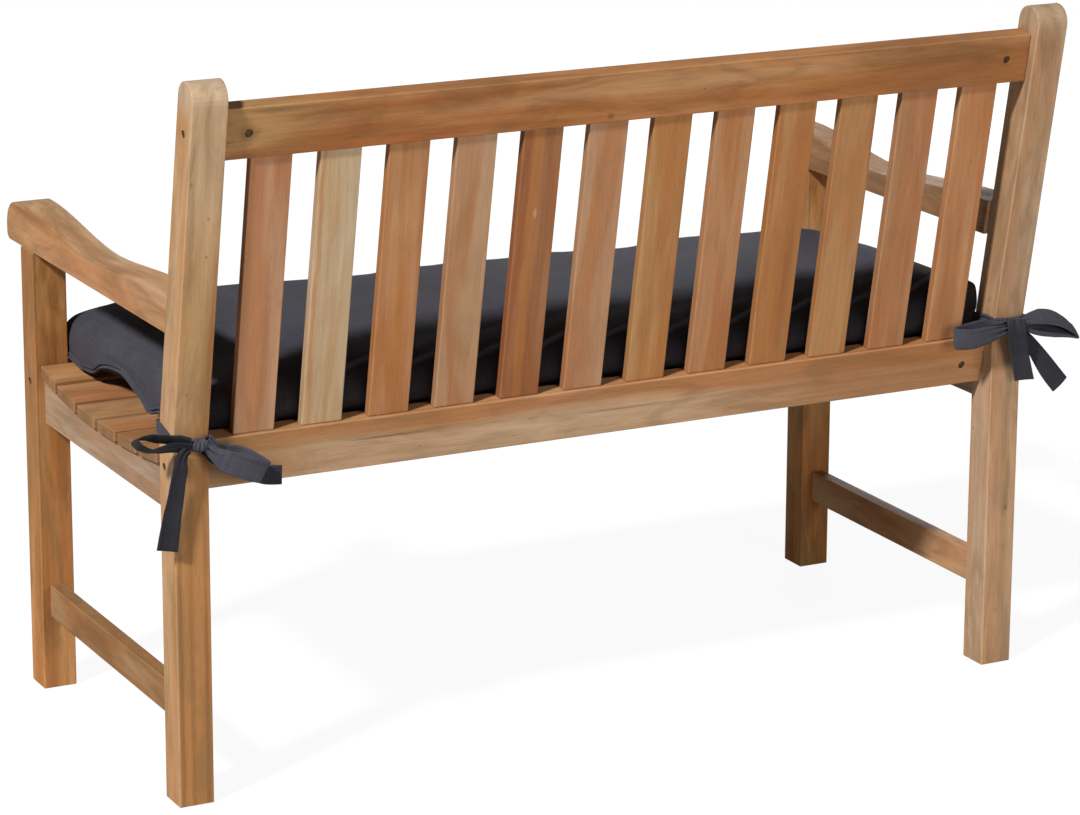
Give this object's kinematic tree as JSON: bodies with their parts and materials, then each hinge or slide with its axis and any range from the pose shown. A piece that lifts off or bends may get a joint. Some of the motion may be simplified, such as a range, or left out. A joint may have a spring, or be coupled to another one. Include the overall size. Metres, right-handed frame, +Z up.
{
  "type": "bench cushion tied on a garden bench",
  "caption": "Filled bench seat cushion with drawn-in sides, tied with cloth bows round the rear posts of a plain slatted wooden bench.",
  "frame": {"origin": "bottom centre of the bounding box, on the floor under the bench", "axes": "+X along the bench, towards the end that is nearer in the picture; the seat faces -Y and the bows are on the +Y side; +Z up"},
  "size_m": [1.3326, 0.6472, 0.9051],
  "materials": {
    "teak": "bare oiled hardwood with long grain streaks and a few small knots",
    "cloth": "matt charcoal woven outdoor cloth",
    "screw": "dulled metal screw heads in recesses"
  },
  "bodies": {
    "root": {"armrest_left": "teak", "armrest_right": "teak", "back_slat_1": "teak", "back_slat_10": "teak", "back_slat_11": "teak", "back_slat_12": "teak", "back_slat_2": "teak", "back_slat_3": "teak", "back_slat_4": "teak", "back_slat_5": "teak", "back_slat_6": "teak", "back_slat_7": "teak", "back_slat_8": "teak", "back_slat_9": "teak", "cushion": "cloth", "front_apron": "teak", "front_leg_left": "teak", "front_leg_right": "teak", "front_leg_screw_left": "screw", "front_leg_screw_right": "screw", "knot_left": "cloth", "knot_right": "cloth", "loop_inner_left": "cloth", "loop_inner_right": "cloth", "loop_outer_left": "cloth", "loop_outer_right": "cloth", "lower_rail": "teak", "lower_rail_screw_left": "screw", "lower_rail_screw_right": "screw", "post_screw_left": "screw", "post_screw_right": "screw", "rear_leg_screw_left": "screw", "rear_leg_screw_right": "screw", "rear_post_left": "teak", "rear_post_right": "teak", "seat_front_strip": "teak", "seat_slat_1": "teak", "seat_slat_2": "teak", "seat_slat_3": "teak", "seat_slat_4": "teak", "seat_slat_5": "teak", "seat_slat_6": "teak", "side_apron_left": "teak", "side_apron_right": "teak", "side_stretcher_left": "teak", "side_stretcher_right": "teak", "strap_inner_left": "cloth", "strap_inner_right": "cloth", "strap_outer_left": "cloth", "strap_outer_right": "cloth", "tail_hanging_left": "cloth", "tail_hanging_right": "cloth", "tail_lying_left": "cloth", "tail_slanting_right": "cloth", "top_rail": "teak", "top_rail_screw_left": "screw", "top_rail_screw_right": "screw"}
  },
  "joints": []
}
